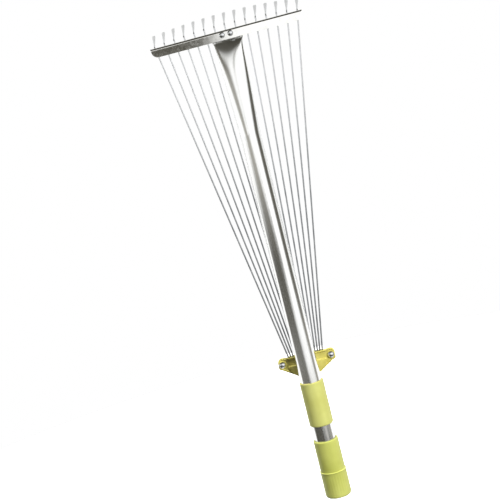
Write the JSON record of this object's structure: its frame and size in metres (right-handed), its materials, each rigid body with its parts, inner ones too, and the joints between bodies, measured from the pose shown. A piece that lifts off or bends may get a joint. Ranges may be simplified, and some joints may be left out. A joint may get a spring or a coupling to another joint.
{
  "type": "expanding leaf rake head",
  "caption": "Expanding leaf rake head: spring wire tines fan out through a guide plate as their holder slides up an aluminium tube with a pole socket.",
  "frame": {"origin": "centre of the pole socket's mouth, on the tube's axis", "axes": "+Z along the tube from the socket to the tines, +X across the rake, -Y to the front, which is the side the tube is on; the tips bend towards +Y"},
  "size_m": [0.1874, 0.0746, 0.6053],
  "materials": {
    "tube_aluminium": "bright drawn tube with fine lengthwise lines",
    "guide_galvanised": "bright zinc-coated sheet",
    "tine_steel": "zinc-coated spring wire",
    "socket_plastic": "satin olive-yellow moulding",
    "sleeve_plastic": "satin pale olive moulding",
    "holder_plastic": "glossy mustard-olive moulding",
    "fastener_zinc": "bright zinc-plated steel"
  },
  "bodies": {
    "tube_assembly": {"rake_tube": "tube_aluminium", "tine_guide": "guide_galvanised", "guide_bolt_left": "fastener_zinc", "guide_bolt_right": "fastener_zinc", "guide_nut_left": "fastener_zinc", "guide_nut_right": "fastener_zinc", "pole_socket": "socket_plastic"},
    "slider": {"tine_holder_front": "holder_plastic", "tine_holder_back": "holder_plastic", "holder_screw_left": "fastener_zinc", "holder_screw_right": "fastener_zinc", "holder_nut_left": "fastener_zinc", "holder_nut_right": "fastener_zinc", "tine_08": "tine_steel"},
    "lock": {"lock_sleeve": "sleeve_plastic"},
    "tine_01_wire": {"tine_01": "tine_steel"},
    "tine_02_wire": {"tine_02": "tine_steel"},
    "tine_03_wire": {"tine_03": "tine_steel"},
    "tine_04_wire": {"tine_04": "tine_steel"},
    "tine_05_wire": {"tine_05": "tine_steel"},
    "tine_06_wire": {"tine_06": "tine_steel"},
    "tine_07_wire": {"tine_07": "tine_steel"},
    "tine_09_wire": {"tine_09": "tine_steel"},
    "tine_10_wire": {"tine_10": "tine_steel"},
    "tine_11_wire": {"tine_11": "tine_steel"},
    "tine_12_wire": {"tine_12": "tine_steel"},
    "tine_13_wire": {"tine_13": "tine_steel"},
    "tine_14_wire": {"tine_14": "tine_steel"},
    "tine_15_wire": {"tine_15": "tine_steel"}
  },
  "joints": [
    {"name": "width_slide", "type": "slide", "parent": "tube_assembly", "child": "slider", "axis": [0, 0, 1], "range_m": [0, 0.29], "deforming": ["tine_01", "tine_02", "tine_03", "tine_04", "tine_05", "tine_06", "tine_07", "tine_09", "tine_10", "tine_11", "tine_12", "tine_13", "tine_14", "tine_15"]},
    {"name": "lock_twist", "type": "hinge", "parent": "slider", "child": "lock", "pos_m": [0, 0, 0.117], "axis": [0, 0, 1], "range_deg": [0, 90]},
    {"name": "tine_01_splay", "type": "hinge", "parent": "slider", "child": "tine_01_wire", "pos_m": [-0.0189, 0.0185, 0.16], "axis": [0, 1, 0], "range_deg": [-19.35, 0]},
    {"name": "tine_02_splay", "type": "hinge", "parent": "slider", "child": "tine_02_wire", "pos_m": [-0.0162, 0.0185, 0.16], "axis": [0, 1, 0], "range_deg": [-17.11, 0]},
    {"name": "tine_03_splay", "type": "hinge", "parent": "slider", "child": "tine_03_wire", "pos_m": [-0.0135, 0.0185, 0.16], "axis": [0, 1, 0], "range_deg": [-14.66, 0]},
    {"name": "tine_04_splay", "type": "hinge", "parent": "slider", "child": "tine_04_wire", "pos_m": [-0.0108, 0.0185, 0.16], "axis": [0, 1, 0], "range_deg": [-12.01, 0]},
    {"name": "tine_05_splay", "type": "hinge", "parent": "slider", "child": "tine_05_wire", "pos_m": [-0.0081, 0.0185, 0.16], "axis": [0, 1, 0], "range_deg": [-9.18, 0]},
    {"name": "tine_06_splay", "type": "hinge", "parent": "slider", "child": "tine_06_wire", "pos_m": [-0.0054, 0.0185, 0.16], "axis": [0, 1, 0], "range_deg": [-6.21, 0]},
    {"name": "tine_07_splay", "type": "hinge", "parent": "slider", "child": "tine_07_wire", "pos_m": [-0.0027, 0.0185, 0.16], "axis": [0, 1, 0], "range_deg": [-3.14, 0]},
    {"name": "tine_09_splay", "type": "hinge", "parent": "slider", "child": "tine_09_wire", "pos_m": [0.0027, 0.0185, 0.16], "axis": [0, 1, 0], "range_deg": [0, 3.14]},
    {"name": "tine_10_splay", "type": "hinge", "parent": "slider", "child": "tine_10_wire", "pos_m": [0.0054, 0.0185, 0.16], "axis": [0, 1, 0], "range_deg": [0, 6.21]},
    {"name": "tine_11_splay", "type": "hinge", "parent": "slider", "child": "tine_11_wire", "pos_m": [0.0081, 0.0185, 0.16], "axis": [0, 1, 0], "range_deg": [0, 9.18]},
    {"name": "tine_12_splay", "type": "hinge", "parent": "slider", "child": "tine_12_wire", "pos_m": [0.0108, 0.0185, 0.16], "axis": [0, 1, 0], "range_deg": [0, 12.01]},
    {"name": "tine_13_splay", "type": "hinge", "parent": "slider", "child": "tine_13_wire", "pos_m": [0.0135, 0.0185, 0.16], "axis": [0, 1, 0], "range_deg": [0, 14.66]},
    {"name": "tine_14_splay", "type": "hinge", "parent": "slider", "child": "tine_14_wire", "pos_m": [0.0162, 0.0185, 0.16], "axis": [0, 1, 0], "range_deg": [0, 17.11]},
    {"name": "tine_15_splay", "type": "hinge", "parent": "slider", "child": "tine_15_wire", "pos_m": [0.0189, 0.0185, 0.16], "axis": [0, 1, 0], "range_deg": [0, 19.35]}
  ],
  "couplings": [
    {"joint": "tine_01_splay", "follows": "width_slide", "rad_per_m": -1.1633},
    {"joint": "tine_02_splay", "follows": "width_slide", "rad_per_m": -1.0285},
    {"joint": "tine_03_splay", "follows": "width_slide", "rad_per_m": -0.88088},
    {"joint": "tine_04_splay", "follows": "width_slide", "rad_per_m": -0.72136},
    {"joint": "tine_05_splay", "follows": "width_slide", "rad_per_m": -0.55129},
    {"joint": "tine_06_splay", "follows": "width_slide", "rad_per_m": -0.37263},
    {"joint": "tine_07_splay", "follows": "width_slide", "rad_per_m": -0.18789},
    {"joint": "tine_09_splay", "follows": "width_slide", "rad_per_m": 0.18789},
    {"joint": "tine_10_splay", "follows": "width_slide", "rad_per_m": 0.37263},
    {"joint": "tine_11_splay", "follows": "width_slide", "rad_per_m": 0.55129},
    {"joint": "tine_12_splay", "follows": "width_slide", "rad_per_m": 0.72136},
    {"joint": "tine_13_splay", "follows": "width_slide", "rad_per_m": 0.88088},
    {"joint": "tine_14_splay", "follows": "width_slide", "rad_per_m": 1.0285},
    {"joint": "tine_15_splay", "follows": "width_slide", "rad_per_m": 1.1633}
  ]
}
